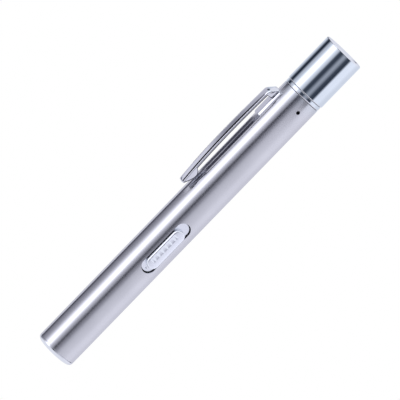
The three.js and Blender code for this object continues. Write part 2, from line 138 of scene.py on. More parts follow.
def rounded(corners, steps=6):
    """An outline from (x, radius, rounding) corners, with each rounding made an arc."""
    outline = []
    count = len(corners)
    for i, (x, r, rounding) in enumerate(corners):
        here = Vector((x, r))
        if rounding <= 0:
            outline.append(here)
            continue
        before = (Vector(corners[i - 1][:2]) - here).normalized()
        after = (Vector(corners[(i + 1) % count][:2]) - here).normalized()
        half = before.angle(after) / 2
        reach = rounding / math.tan(half)
        centre = here + (before + after).normalized() * (rounding / math.sin(half))
        spoke = here + before * reach - centre
        turn = spoke.angle_signed(here + after * reach - centre)
        for k in range(steps + 1):
            spun = spoke.copy()
            spun.rotate(Matrix.Rotation(-turn * k / steps, 2))
            outline.append(centre + spun)
    return [(p.x, p.y) for p in outline]


def lathe(name, outline, material, sides=SIDES):
    """A body turned about X from a closed outline of (x, radius) points."""
    on_axis = 1e-9
    verts = []
    rings = []
    for x, r in outline:
        if r < on_axis:
            rings.append([len(verts)] * sides)
            verts.append((x, 0, 0))
            continue
        rings.append(list(range(len(verts), len(verts) + sides)))
        for k in range(sides):
            angle = 2 * math.pi * k / sides
            verts.append((x, r * math.cos(angle), r * math.sin(angle)))
    faces = []
    for i, ring in enumerate(rings):
        following = rings[(i + 1) % len(rings)]
        for k in range(sides):
            m = (k + 1) % sides
            face = list(dict.fromkeys([ring[k], ring[m], following[m], following[k]]))
            if len(face) > 2:
                faces.append(face)
    return new_object(name, verts, faces, material)


def stadium_points(length, width, straight, end):
    """Points round a stadium centred on the origin, anticlockwise."""
    r = width / 2
    reach = length / 2 - r
    points = []
    for side in (1, -1):
        for k in range(straight):
            points.append((side * (2 * reach * k / straight - reach), -side * r))
        for k in range(end):
            angle = math.pi * k / end - side * math.pi / 2
            points.append((side * reach + r * math.cos(angle), r * math.sin(angle)))
    return points


def walls_between(lower, upper):
    """Faces that join two closed loops of as many vertices."""
    count = len(lower)
    faces = []
    for k in range(count):
        m = (k + 1) % count
        faces.append([lower[k], lower[m], upper[m], upper[k]])
    return faces


def prism(name, points, low, high):
    """A closed prism along Z over an outline of (x, y) points."""
    count = len(points)
    verts = [(x, y, z) for z in (low, high) for x, y in points]
    base, top = list(range(count)), list(range(count, 2 * count))
    return new_object(name, verts, [base[::-1], top] + walls_between(base, top))


def stadium_prism(name, centre_x, length, width, low, high):
    points = stadium_points(length, width, straight=2, end=24)
    return prism(name, [(centre_x + x, y) for x, y in points], low, high)


def cut(obj, tool):
    """Cuts a throwaway tool out of an object."""
    obj.modifiers.clear()
    modifier = obj.modifiers.new("cut", "BOOLEAN")
    modifier.operation = "DIFFERENCE"
    modifier.solver = "EXACT"
    modifier.object = tool
    depsgraph = bpy.context.evaluated_depsgraph_get()
    mesh = bpy.data.meshes.new_from_object(obj.evaluated_get(depsgraph))
    obj.modifiers.clear()
    obj.data = mesh
    bpy.data.objects.remove(tool)
    clean(obj)
    shade(obj, 35)


def clamp(value):
    return min(1, max(0, value))


# ---- Materials ----

FINISHES = {}  # Every metal and plastic, by its name, which is also the slot that it dresses.


def new_material(name):
    material = bpy.data.materials.new(name)
    material.use_nodes = True
    return material, material.node_tree, material.node_tree.nodes["Principled BSDF"]


def add_node(tree, kind, **values):
    node = tree.nodes.new(kind)
    for key, value in values.items():
        setattr(node, key, value)
    return node


def noise(tree, stretch, scale, detail=3):
    """Noise in the object's own coordinates, stretched by a scale for each axis."""
    place = add_node(tree, "ShaderNodeTexCoord")
    mapping = add_node(tree, "ShaderNodeMapping")
    mapping.inputs["Scale"].default_value = stretch
    grain = add_node(tree, "ShaderNodeTexNoise")
    grain.inputs["Scale"].default_value = scale
    grain.inputs["Detail"].default_value = detail
    grain.inputs["Roughness"].default_value = 0.55
    tree.links.new(place.outputs["Object"], mapping.inputs["Vector"])
    tree.links.new(mapping.outputs["Vector"], grain.inputs["Vector"])
    return grain.outputs["Fac"]


def ranged(tree, source, low, high):
    """A source from 0 to 1, spread over the range from low to high."""
    spread = add_node(tree, "ShaderNodeMapRange")
    spread.inputs["To Min"].default_value = low
    spread.inputs["To Max"].default_value = high
    tree.links.new(source, spread.inputs["Value"])
    return spread.outputs["Result"]


def tinted(tree, source, dark, light):
    """A colour between dark and light, from the middle of a source's range."""
    ramp = add_node(tree, "ShaderNodeValToRGB")
    for element, position, colour in zip(ramp.color_ramp.elements, (0.3, 0.7), (dark, light)):
        element.color = (*colour, 1)
        element.position = position
    tree.links.new(source, ramp.inputs["Fac"])
    return ramp.outputs["Color"]


def metal(name, dark, light, roughness, brushing=0.0, grain=(1, 1, 1)):
    """Polished or brushed metal with slight uneven tint and haze."""
    material, tree, shader = new_material(name)
    shader.inputs["Metallic"].default_value = 1
    haze = noise(tree, grain, 2600)
    cloud = noise(tree, (1, 1, 1), 90, 2)
    tree.links.new(tinted(tree, cloud, dark, light), shader.inputs["Base Color"])
    tree.links.new(ranged(tree, haze, *roughness), shader.inputs["Roughness"])
    if brushing:
        shader.inputs["Anisotropic"].default_value = brushing
        shader.inputs["Anisotropic Rotation"].default_value = 0.25
        around = add_node(tree, "ShaderNodeTangent", direction_type="RADIAL", axis="X")
        tree.links.new(around.outputs["Tangent"], shader.inputs["Tangent"])
    FINISHES[name] = material
    return material


def plastic(name, dark, light, roughness, scale=900, bump_height=1e-5, clear=0.0, specular=0.5):
    """Moulded plastic with fine texture and slight colour variation."""
    material, tree, shader = new_material(name)
    mottle = noise(tree, (1, 1, 1), scale)
    tree.links.new(tinted(tree, mottle, dark, light), shader.inputs["Base Color"])
    tree.links.new(ranged(tree, mottle, *roughness), shader.inputs["Roughness"])
    shader.inputs["Transmission Weight"].default_value = clear
    shader.inputs["Specular IOR Level"].default_value = specular
    bump = add_node(tree, "ShaderNodeBump")
    bump.inputs["Distance"].default_value = bump_height
    bump.inputs["Strength"].default_value = 1
    tree.links.new(mottle, bump.inputs["Height"])
    tree.links.new(bump.outputs["Normal"], shader.inputs["Normal"])
    FINISHES[name] = material
    return material


AROUND = (1, 0.02, 0.02)
SATIN = metal("satin_steel", (0.65, 0.655, 0.69), (0.69, 0.695, 0.73), (0.17, 0.24), 0.9, AROUND)
POLISHED = metal("polished_steel", (0.77, 0.785, 0.83), (0.82, 0.835, 0.88), (0.04, 0.08))
CLIP_STEEL = metal("clip_steel", (0.75, 0.76, 0.81), (0.81, 0.82, 0.87), (0.05, 0.1))
SWITCH_METAL = metal("switch_metal", (0.87, 0.9, 0.97), (0.92, 0.95, 1.0), (0.2, 0.3))
# Near-black metal for the clip's sheared flange rims: painted shade, a dark edge line that stands for the
# shade and dark reflection along the rims.
SHEARED_RIM_PAINTED_SHADE = metal("sheared_rim_painted_shade", (0.1, 0.1, 0.12), (0.17, 0.17, 0.2), (0.35, 0.5))
CLEAR = plastic("clear_plastic", (0.93, 0.96, 0.98), (0.97, 0.98, 1.0), (0.02, 0.05), 300, 1e-6, 1.0)
metal("nickel", (0.7, 0.69, 0.66), (0.76, 0.75, 0.72), (0.14, 0.24))
metal("gold", (0.8, 0.58, 0.22), (0.86, 0.66, 0.3), (0.15, 0.25))
plastic("black_plastic", (0.012, 0.012, 0.014), (0.03, 0.03, 0.033), (0.4, 0.55))
plastic("white_plastic", (0.78, 0.78, 0.75), (0.86, 0.86, 0.83), (0.35, 0.5))
plastic("foam", (0.02, 0.02, 0.022), (0.08, 0.08, 0.085), (0.85, 0.98), 2200, 0.00015)
plastic("cell_wrap", (0.03, 0.15, 0.3), (0.06, 0.22, 0.4), (0.2, 0.32))
plastic("circuit_board", (0.01, 0.09, 0.03), (0.03, 0.15, 0.055), (0.3, 0.45), 1400)
plastic("chip", (0.01, 0.01, 0.012), (0.022, 0.022, 0.025), (0.4, 0.5))
plastic("led_white", (0.82, 0.76, 0.34), (0.92, 0.88, 0.5), (0.3, 0.4))
plastic("led_warm", (0.85, 0.48, 0.08), (0.95, 0.6, 0.16), (0.3, 0.4))
plastic("wire_red", (0.4, 0.015, 0.01), (0.52, 0.03, 0.02), (0.35, 0.45))
plastic("wire_black", (0.012, 0.012, 0.012), (0.022, 0.022, 0.022), (0.35, 0.45))
plastic("rubber", (0.02, 0.02, 0.02), (0.04, 0.04, 0.04), (0.7, 0.85))
plastic(
    "smoked_plastic", (0.004, 0.004, 0.005), (0.008, 0.008, 0.01), (0.1, 0.2), 600, 1e-6,
    specular=0.05,
)


def finish_cad_nodes():
    """Every CAD node takes the finish that its slot names."""
    for subpart in frame["record"]["subparts"]:
        node = frame["nodes"][subpart["node"]]
        node.data.materials.clear()
        node.data.materials.append(FINISHES[subpart["material_slot"]])


# ---- Turned pieces ----

def settle(obj, body, slot, *nodes):
    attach(obj, body)
    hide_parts(*nodes)


def make_tube():
    """A thin tube with a stadium slot for the switch plate and a round indicator hole."""
    inner = TUBE_R - TUBE_WALL
    edge = 0.08 * MM
    x0, x1 = TUBE_X
    tube = lathe("tube", rounded([
        (x0, inner, 0), (x0, TUBE_R, edge), (x1, TUBE_R, edge), (x1, inner, 0),
    ], 3), SATIN)
    length = PLATE_X[1] - PLATE_X[0] + 2 * PLATE_GAP
    width = PLATE_Y[1] - PLATE_Y[0] + 2 * PLATE_GAP
    cut(tube, stadium_prism("slot_tool", PLATE_MID, length, width, *CUTTER_Z))
    hole_x = sum(node_span("light_guide", X)) / 2
    hole_width = 1.3 * MM
    hole_length = hole_width * 1.001  # A stadium needs some length between its round ends.
    cut(tube, stadium_prism("hole_tool", hole_x, hole_length, hole_width, *CUTTER_Z))
    settle(tube, "barrel", "satin_steel", "barrel_tube")


def make_tail():
    """A plug with a rounded rim, bored from its inner end."""
    x0, x1 = TAIL_X
    rim_x = TUBE_X[0] - 0.15 * MM
    spigot = TUBE_R - TUBE_WALL - 0.1 * MM
    bore = spigot - 1.2 * MM
    bore_x = x0 + 2.2 * MM
    tail = lathe("tail_end", rounded([
        (x0, 0, 0), (x0, TUBE_R, 1.3 * MM), (rim_x, TUBE_R, 0.05 * MM), (rim_x, spigot, 0),
        (x1, spigot, 0), (x1, bore, 0), (bore_x, bore, 0), (bore_x, 0, 0),
    ], 10), POLISHED)
    settle(tail, "barrel", "polished_steel", "tail_plug")


def make_ring():
    x0, x1 = RING_X
    bore = TUBE_R - 0.32 * MM
    edge = 0.18 * MM
    ring = lathe("collar", rounded([
        (x0, bore, 0), (x0, TUBE_R, edge), (x1, TUBE_R, edge), (x1, bore, 0),
    ]), POLISHED)
    settle(ring, "barrel", "polished_steel", "collar_ring")


def make_head():
    """A shell whose rounded rim turns in to a mouth."""
    x0, x1 = HEAD_X
    bore = HEAD_R - 0.5 * MM
    lip_x = x1 - 0.8 * MM
    mouth = 5.6 * MM
    head = lathe("head", rounded([
        (x0, bore, 0.05 * MM), (x0, HEAD_R, 0.2 * MM), (x1, HEAD_R, 0.6 * MM),
        (x1, mouth + 0.3 * MM, 0.15 * MM), (lip_x, mouth, 0.05 * MM), (lip_x, bore, 0),
    ], 8), POLISHED)
    settle(head, "head", "polished_steel", "head_shell")


def make_reflector():
    """A bowl with a curved inside round the two lamps."""
    x0, x1 = node_span("reflector", X)
    outer = node_span("reflector", Z)[1]
    throat = 2.9 * MM
    mouth = 5.7 * MM
    edge = 0.05 * MM
    steps = 16
    shares = [k / steps for k in range(steps + 1)]
    bowl = [(x0 + (x1 - x0) * share ** 2, throat + (mouth - throat) * share) for share in shares]
    outline = bowl + [(x1, outer - edge), (x1 - edge, outer), (x0, outer)]
    reflector = lathe("reflector_bowl", outline, POLISHED, FINE_SIDES)
    settle(reflector, "head", "polished_steel", "reflector")


def make_lens():
    """A shallow dome with a flat rim under the gasket."""
    x0, x1 = node_span("lens", X)
    outer = node_span("lens", Z)[1]
    rim_x = x1 - 0.5 * MM
    dome_radius = 5.4 * MM
    edge = 0.08 * MM
    steps = 16
    outline = [
        (x0, 0), (x0, outer - edge), (x0 + edge, outer), (rim_x - edge, outer), (rim_x, outer - edge),
    ]
    for k in range(steps, -1, -1):
        share = k / steps
        outline.append((rim_x + (x1 - rim_x) * (1 - share ** 2), dome_radius * share))
    settle(lathe("lens_dome", outline, CLEAR, FINE_SIDES), "head", "clear_plastic", "lens")


# ---- Switch ----

CAP_SMOOTH_ANGLE = 50


def stadium_cap(name, centre_x, length, width, floor, height, counts, insets):
    """A cap over a stadium, with rings of points that step in from its rim to its middle line.

    height gives Z at x, y and inset. counts says how many points lie along a side and round an end.
    """
    verts = []
    rings = []

    def add_ring(inset, z):
        outline = stadium_points(length - 2 * inset, width - 2 * inset, *counts)
        rings.append(list(range(len(verts), len(verts) + len(outline))))
        verts.extend((centre_x + x, y, z(x, y, inset)) for x, y in outline)

    for inset in insets:
        add_ring(inset, height)
    add_ring(0, lambda x, y, inset: floor)
    base = rings.pop()
    faces = []
    for outer, inner in zip(rings, rings[1:]):
        faces += walls_between(outer, inner)
    faces += walls_between(base, rings[0])
    cap = new_object(name, verts, faces, SWITCH_METAL, CAP_SMOOTH_ANGLE)
    close_underside(cap)
    return cap


def close_underside(cap):
    """Fills the two open loops, under the cap and along its middle line."""
    work = bmesh.new()
    work.from_mesh(cap.data)
    rim = [e for e in work.edges if e.is_boundary]
    bmesh.ops.contextual_create(work, geom=rim)
    bmesh.ops.triangulate(work, faces=[f for f in work.faces if len(f.verts) > 4])
    bmesh.ops.recalc_face_normals(work, faces=work.faces)
    work.to_mesh(cap.data)
    work.free()
    shade(cap, CAP_SMOOTH_ANGLE)


def round_edge(inset, radius):
    """How far a rounded rim drops below the top at an inset from its outline."""
    if inset >= radius:
        return 0
    return radius - math.sqrt(radius ** 2 - (radius - inset) ** 2)


def rim_insets(radius, rim_steps, half, inner_steps):
    """Insets close together over the rounded rim, then even steps to the middle line."""
    rim = [radius * (1 - math.cos(math.pi / 2 * k / rim_steps)) for k in range(rim_steps + 1)]
    inside = [radius + (half - radius) * k / inner_steps for k in range(1, inner_steps + 1)]
    inside[-1] = half - 1e-6  # The last ring keeps a little width, so that it stays a loop.
    return rim + inside


def make_plate():
    """A flat plate with a dimple near its left end and a slot for the slider's stem."""
    length = PLATE_X[1] - PLATE_X[0]
    width = PLATE_Y[1] - PLATE_Y[0]
    floor = PLATE_TOP - 0.5 * MM
    edge = 0.12 * MM
    dimple_x = 1.1 * MM - length / 2
    dimple_radius = 0.36 * MM
    dimple_depth = 0.25 * MM

    def height(x, y, inset):
        dimple = max(0, 1 - math.hypot(x - dimple_x, y) / dimple_radius) ** 0.7
        return PLATE_TOP - round_edge(inset, edge) - dimple_depth * dimple

    insets = rim_insets(edge, 4, width / 2, 22)
    plate = stadium_cap("switch_bezel", PLATE_MID, length, width, floor, height, (120, 40), insets)
    cut(plate, stadium_prism("stem_slot", KNOB_MID, 8.4 * MM, 2.4 * MM, *CUTTER_Z))
    settle(plate, "barrel", "switch_metal", "switch_plate")


def make_knob():
    """A pillow with a top curved like the tube, and narrow ribs on its clip side.

    Its edge is rounded more on the clip side than on the other. A stem goes down into the switch.
    """
    length = KNOB_X[1] - KNOB_X[0]
    width = KNOB_Y[1] - KNOB_Y[0]
    floor = PLATE_TOP + 0.1 * MM
    rounding = 0.6 * MM
    squareness = 0.55
    square_width = 1.6 * MM
    ribs = 6
    pitch = 1.79 * MM
    rib_half = 0.2 * MM
    rib_middle = 0.75 * MM
    rib_reach = 0.95 * MM
    valley_depth = 0.21 * MM
    valleys_end = pitch * ribs / 2 + 0.3 * MM
    valleys_fade = 0.4 * MM

    def height(x, y, inset):
        crown = KNOB_TOP - math.sqrt(KNOB_TOP ** 2 - y ** 2)
        from_rib = ((x / pitch + ribs / 2) % 1 - 0.5) * pitch
        valley = 1 - math.exp(-((from_rib / rib_half) ** 2))
        along = clamp((valleys_end - abs(x)) / valleys_fade)
        across = max(0, 1 - (abs(y - rib_middle) / rib_reach) ** 2)
        square = clamp(0.5 - y / square_width)
        fall = round_edge(inset, rounding) * (1 - squareness * square)
        return KNOB_TOP - crown - fall - valley_depth * along * across * valley

    insets = rim_insets(rounding, 14, width / 2, 14)
    knob = stadium_cap("slider", KNOB_MID, length, width, floor, height, (260, 48), insets)
    stem_z = 3.8 * MM, floor - 0.02 * MM
    stem = stadium_prism("slider_stem", KNOB_MID, 4 * MM, 2 * MM, *stem_z)
    stem.data.materials.append(SWITCH_METAL)
    settle(knob, "switch_slider", "switch_metal", "switch_knob")
    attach(stem, "switch_slider")


# ---- Clip: one strip, lofted from its tip, over the shoulder and back under to its foot ----

ARM_TIP_X = node_span("clip_arm", X)[0]
ARM_LOW, ARM_PEAK = node_span("clip_arm", Y)
FOOT_X = node_span("clip_foot", X)
CLIP_Z = node_span("clip_arm", Z)
CLIP_HALF = (CLIP_Z[1] - CLIP_Z[0]) / 2
STRIP = 0.4 * MM

PEAK_X = 89 * MM
SHOULDER_X = 107.5 * MM
BOW_TO_TIP = 0.86 * MM
BOW_TO_SHOULDER = 0.37 * MM
FLANGE = 1.2 * MM
TIP_FLANGE = 0.6 * MM
LOBE_X = 72.7 * MM
LOBE_END_X = LOBE_X + 2.4 * MM
CHEEK_X = 107.35 * MM

# The channel's section. Its web is crowned at both sides, and its rims are sheared.
WEB_CROWN = 1.6 * MM
WEB_ROUNDING = 0.75 * MM
INNER_FOLD = 0.3 * MM
RIM_ROUNDING = 0.12 * MM
RIM_DROP = 0.42 * MM
THIN = 0.01 * MM
ARC_STEPS = 14
TOP_STEPS = 3
HALF_POINTS = ARC_STEPS + TOP_STEPS + 2

FOOT_TOP = TUBE_R + 0.6 * MM
FOOT_HALF = 2.2 * MM
SEAT_STATIONS = 3


def arm_top(x):
    """The outer face of the arm: a shallow bow."""
    if x < PEAK_X:
        return ARM_PEAK - BOW_TO_TIP * ((x - PEAK_X) / (PEAK_X - ARM_TIP_X)) ** 2
    return ARM_PEAK - BOW_TO_SHOULDER * ((x - PEAK_X) / (SHOULDER_X - PEAK_X)) ** 2


def arm_bottom(x):
    """The lower edge of the arm's flanges, which swell into a lobe near the tip."""
    if x < LOBE_X:
        share, power, flange = (LOBE_X - x) / (LOBE_X - ARM_TIP_X), 1.6, TIP_FLANGE
    else:
        share, power, flange = (x - LOBE_X) / (LOBE_END_X - LOBE_X), 2.7, FLANGE
    root = arm_top(x) - flange
    return root + (ARM_LOW - root) * (1 - min(1, share) ** power)


def clip_stations():
    """Pairs of points in X and Y: on the strip's outer face, and facing it on the flange's edge."""
    nose = Vector((ARM_TIP_X, arm_top(ARM_TIP_X)))
    stations = [
        (nose + Vector(face) * MM, nose + Vector(edge) * MM)
        for face, edge in (
            ((0.14, -0.78), (0.42, -0.86)), ((0.04, -0.62), (0.48, -0.88)),
            ((0, -0.42), (0.54, -0.92)), ((0.06, -0.24), (0.62, -0.98)),
            ((0.22, -0.08), (0.72, -1.04)), ((0.46, 0), (0.86, -1.12)),
        )
    ]
    x = ARM_TIP_X + 0.9 * MM
    while x < CHEEK_X - 0.3 * MM:
        stations.append((Vector((x, arm_top(x))), Vector((x, arm_bottom(x)))))
        near_lobe_end = LOBE_X < x < LOBE_END_X + 0.2 * MM
        step = 0.14 if near_lobe_end else 0.32 if x < LOBE_X else 0.8
        x += step * MM
    return stations + bend_stations()


def bend_stations():
    """Over the shoulder, where the flanges fan out into cheeks, and round the nose to the foot.

    The lists are in mm, with X from the shoulder or from the end of the foot.
    """
    end = FOOT_X[1]
    top = arm_top(CHEEK_X)
    shoulder = [(0, 0), (0.55, -0.01), (0.95, -0.06), (1.35, -0.2), (1.7, -0.42)]
    slope = [(-1.7, 9.93), (-1.3, 9.53), (-0.9, 9.12), (-0.55, 8.74), (-0.25, 8.4)]
    nose = [(-0.07, 8.15), (0, 7.88), (-0.04, 7.62), (-0.17, 7.38)]
    face = [(CHEEK_X + x * MM, top + y * MM) for x, y in shoulder]
    face += [(end + x * MM, y * MM) for x, y in slope + nose]
    cheek_low = 7.85
    cheek_front = [(0.01, 9.1), (0.02, 8.6), (0.04, 8.15), (0.15, cheek_low)]
    cheek_under = [(x, cheek_low) for x in (-3.2, -2.75, -2.2, -1.6, -1.1, -0.75)]
    seat = [(-0.55, cheek_low - 0.02), (-0.5, 7.76), (-0.5, FOOT_TOP / MM + 0.04)]
    edge = [(CHEEK_X, arm_bottom(CHEEK_X))]
    edge += [(CHEEK_X + x * MM, y * MM) for x, y in cheek_front]
    edge += [(end + x * MM, y * MM) for x, y in cheek_under + seat]
    return [(Vector(p), Vector(q)) for p, q in zip(face, edge)]


def quarter_turn(steps):
    """Cosine and sine at even steps over a right angle."""
    angles = [math.pi / 2 * k / steps for k in range(steps + 1)]
    return [(math.cos(angle), math.sin(angle)) for angle in angles]


def flat_steps(half, height):
    """Points along a flat from one side almost to the middle, without its two ends."""
    return [(half * k / TOP_STEPS, height) for k in range(TOP_STEPS - 1, 0, -1)]


def mirrored(half_path):
    """A path from one side across the middle to the other, from its positive half."""
    middle = (0, half_path[-1][1])
    return half_path + [middle] + [(-across, height) for across, height in half_path[::-1]]


def channel_ring(outer, edge):
    """A channel section: a web on the outer face with rounded corners, and two flanges."""
    down = edge - outer
    depth = down.length
    down.normalize()
    drop = min(RIM_DROP, depth * 0.4)
    rounding = min(WEB_ROUNDING, depth - drop - THIN)
    fold = min(INNER_FOLD, max(2 * THIN, depth - STRIP - RIM_ROUNDING))
    flat = CLIP_HALF - WEB_CROWN
    wall = CLIP_HALF - STRIP
    rim_inside = depth - RIM_ROUNDING * 0.5
    outside = [(CLIP_HALF - RIM_ROUNDING, depth), (CLIP_HALF, depth - drop)]
    inside = [(wall + RIM_ROUNDING, depth), (wall, depth - RIM_ROUNDING)]
    for cosine, sine in quarter_turn(ARC_STEPS):
        outside.append((flat + WEB_CROWN * cosine, rounding * (1 - sine)))
        inside.append((wall - fold + fold * cosine, min(STRIP + fold * (1 - sine), rim_inside)))
    outside += flat_steps(flat, 0)
    inside += flat_steps(wall - fold, STRIP)
    ring = mirrored(outside) + mirrored(inside)[::-1]
    return [(*(outer + down * below), across) for across, below in ring]


def foot_ring(x, half):
    """A section of the foot: hollowed to sit on the tube, with a flat top and bevelled sides."""
    seat = TUBE_R + 0.06 * MM
    bevel_height = 0.55 * MM
    bevel_width = 0.65 * MM
    under = []
    over = []
    for cosine, _ in quarter_turn(HALF_POINTS)[:-1]:
        across = half * cosine
        under.append((across, math.sqrt(seat ** 2 - across ** 2)))
        fall = max(0, 1 - (half - across) / bevel_width)
        over.append((across, FOOT_TOP - bevel_height * fall ** 1.1))
    ring = mirrored(under) + mirrored(over)[::-1]
    return [(x, y, across) for across, y in ring]


def foot_rings():
    """Sections from under the bend to the foot's free end, whose corners are round."""
    margin = 0.75 * MM
    corner = 0.7 * MM
    rings = []
    x = FOOT_X[1] - margin
    while x > FOOT_X[0] + margin:
        rings.append(foot_ring(x, FOOT_HALF))
        x -= 0.5 * MM
    for cosine, sine in quarter_turn(5):
        rings.append(foot_ring(FOOT_X[0] + corner * (1 - sine), FOOT_HALF - corner * (1 - cosine)))
    return rings


def make_clip():
    """The strip as a loft, with its sheared flange rims in a near-black metal: painted shade, a dark edge
    line darker than sheared steel is.
    """
    rings = [channel_ring(*station) for station in clip_stations()]
    painted_rim_ring_count = len(rings) - SEAT_STATIONS
    rings += foot_rings()
    count = len(rings[0])
    half = count // 2
    # The rim faces of each channel section take the near-black metal: a painted dark edge line of shade
    # along the flanges.
    painted_rim_faces = (0, half - 2, half - 1, count - 1)
    verts = [point for ring in rings for point in ring]
    loops = [list(range(i * count, (i + 1) * count)) for i in range(len(rings))]
    faces = [loops[0][::-1], loops[-1]]
    face_slots = [1, 0]
    for i, (loop, following) in enumerate(zip(loops, loops[1:])):
        faces += walls_between(loop, following)
        face_slots += [int(k in painted_rim_faces and i < painted_rim_ring_count) for k in range(count)]
    clip = new_object("pocket_clip", verts, faces, CLIP_STEEL, 40, face_slots)
    clip.data.materials.append(SHEARED_RIM_PAINTED_SHADE)
    cut(clip, slit_tool())
    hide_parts("clip_arm", "clip_foot")
    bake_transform(clip)


def slit_tool():
    """A curved slit through both cheeks of the bend, with its numbers in mm."""
    steps = 9
    reach = 3
    start, end = Vector((108.4, 9.45)), Vector((110.05, 8.4))
    outline = []
    for bulge in (Vector((109.6, 9.3)), Vector((109.0, 8.7))):
        for k in range(steps):
            t = k / steps
            outline.append(start * (1 - t) ** 2 + bulge * 2 * t * (1 - t) + end * t ** 2)
        start, end = end, start
    return prism("slit_tool", [p * MM for p in outline], -reach * MM, reach * MM)


# ---- Camera and floor ----

TILT = math.radians(5.6)
ROLL_TO_CLIP = math.radians(25.2)
AXIS_IN_PICTURE = math.radians(45.9)
CAMERA_DISTANCE = 1.3
FIELD = 0.1278
SENSOR = 36
AIM_ALONG = 0.8 * MM
AIM_ACROSS = 0.16 * MM


def make_camera():
    """A long lens that sees FIELD metres across at the pen."""
    back = Vector((
        math.sin(TILT), math.sin(ROLL_TO_CLIP) * math.cos(TILT), math.cos(ROLL_TO_CLIP) * math.cos(TILT),
    ))
    along = (Vector((1, 0, 0)) - back * back.x).normalized()
    across = back.cross(along)
    right = along * math.cos(AXIS_IN_PICTURE) - across * math.sin(AXIS_IN_PICTURE)
    up = along * math.sin(AXIS_IN_PICTURE) + across * math.cos(AXIS_IN_PICTURE)
    data = bpy.data.cameras.new("camera")
    data.sensor_width = SENSOR
    data.lens = SENSOR * CAMERA_DISTANCE / FIELD
    data.clip_end = 10
    camera = bpy.data.objects.new("camera", data)
    centre = Vector(((TAIL_X[0] + HEAD_X[1]) / 2, 0, 0))
    place = centre + along * AIM_ALONG + across * AIM_ACROSS + back * CAMERA_DISTANCE
    camera.matrix_world = Matrix((
        (right.x, up.x, back.x, place.x), (right.y, up.y, back.y, place.y),
        (right.z, up.z, back.z, place.z), (0, 0, 0, 1),
    ))
    bpy.context.scene.collection.objects.link(camera)
    bpy.context.scene.camera = camera


def card_material(name):
    """A card that gives off light and reflects none."""
    material, tree, shader = new_material(name)
    shader.inputs["Base Color"].default_value = (0, 0, 0, 1)
    shader.inputs["Specular IOR Level"].default_value = 0
    shader.inputs["Emission Color"].default_value = (1, 1, 1, 1)
    shader.inputs["Emission Strength"].default_value = 1
    return material, tree, shader


def make_floor():
    """A white floor that metal doesn't reflect."""
    half = 3
    z = -HEAD_R - 0.02 * MM
    corners = [(-half, -half, z), (half, -half, z), (half, half, z), (-half, half, z)]
    material, _, _ = card_material("floor_white")
    floor = new_object("floor", corners, [[0, 1, 2, 3]], material)
    floor.visible_glossy = False


# ---- Studio that the metal reflects ----

# Brightness of the studio round the tube's axis, as polished steel shows it: degrees from
# straight above towards the clip side, and screen grey. A ramp takes at most 32 stops.
STUDIO = [
    (-180, 178), (-120, 207), (-94, 220), (-76, 228), (-55, 226), (-35, 212),
    (-20, 205), (-5, 196), (5, 182), (13, 156), (20, 130), (26, 110), (31, 80), (35, 44), (38, 56),
    (42, 118), (48, 160), (56, 190), (63, 240), (69, 300), (86, 300), (93, 268), (100, 222),
    (108, 184), (117, 156), (128, 140), (138, 126), (147, 92), (152, 56), (157, 84), (162, 176), (168, 214),
]
STUDIO_TINT = (-1, -1, 10)

# The same round the lamp head, which stands before a second, darker card.
HEAD_STUDIO = [
    (-180, 210), (-98, 209), (-77, 216), (-60, 230), (-32, 226), (-27, 158), (-22, 62), (-16, 56),
    (-7, 72), (2, 134), (8, 150), (13, 142), (17, 120), (22, 84), (26, 62), (34, 66), (38, 92),
    (43, 172), (48, 198), (53, 212), (58, 240), (63, 280), (83, 280), (88, 234), (98, 188),
    (106, 184), (112, 130), (119, 52), (128, 34), (137, 98), (149, 178), (160, 205),
]
HEAD_TINT = (-7, 0, 12)
STEEL_REFLECTANCE = 0.82

# The bands fade to one grey where the reflected direction slants along the tube.
FADE_START = 0.3
FADE_END = 0.55
END_GREY = 222
END_TINT = (-2, 0, 8)


def grey(value, tint):
    """A linear colour from an 8-bit screen grey and a small tint."""
    return (*[((value + t) / 255) ** 2.2 for t in tint], 1)


def grey_in_steel(value, tint):
    """The colour that steel reflects as a screen grey."""
    return (*[c / STEEL_REFLECTANCE for c in grey(value, tint)[:3]], 1)


def calculated(tree, operation, a, b=None):
    """The result of a sum or comparison of a socket, alone or with a socket or a number."""
    node = add_node(tree, "ShaderNodeMath", operation=operation)
    tree.links.new(a, node.inputs[0])
    if isinstance(b, (int, float)):
        node.inputs[1].default_value = b
    elif b is not None:
        tree.links.new(b, node.inputs[1])
    return node.outputs["Value"]


def separated(tree, vector):
    """A vector's X, Y and Z."""
    split = add_node(tree, "ShaderNodeSeparateXYZ")
    tree.links.new(vector, split.inputs["Vector"])
    return split.outputs


def share_between(tree, source, low, high):
    """How far a source lies on the way from low to high."""
    share = add_node(tree, "ShaderNodeMapRange")
    share.inputs["From Min"].default_value = low
    share.inputs["From Max"].default_value = high
    tree.links.new(source, share.inputs["Value"])
    return share.outputs["Result"]


def grey_ramp(tree, share, first, last, stops, tint):
    """Screen greys at places between a first and a last one."""
    ramp = add_node(tree, "ShaderNodeValToRGB")
    elements = ramp.color_ramp.elements
    elements.remove(elements[1])
    for i, (place, value) in enumerate(stops):
        position = (place - first) / (last - first)
        element = elements.new(position) if i else elements[0]
        element.position = position
        element.color = grey_in_steel(value, tint)
    tree.links.new(share, ramp.inputs["Fac"])
    return ramp.outputs["Color"]


def bands_round_x(tree, parts, stops, tint):
    """A colour that depends only on the direction round the X axis."""
    turn = calculated(tree, "ARCTAN2", parts["Y"], parts["Z"])
    share = share_between(tree, turn, -math.pi, math.pi)
    return grey_ramp(tree, share, -180, 180, stops, tint)


def mixed(tree, factor, a, b):
    """A mix of a colour socket with a second one or with a fixed colour."""
    mix = add_node(tree, "ShaderNodeMix", data_type="RGBA")
    tree.links.new(factor, mix.inputs["Factor"])
    tree.links.new(a, mix.inputs["A"])
    mix.inputs["B"].default_value = b
    return mix.outputs["Result"]


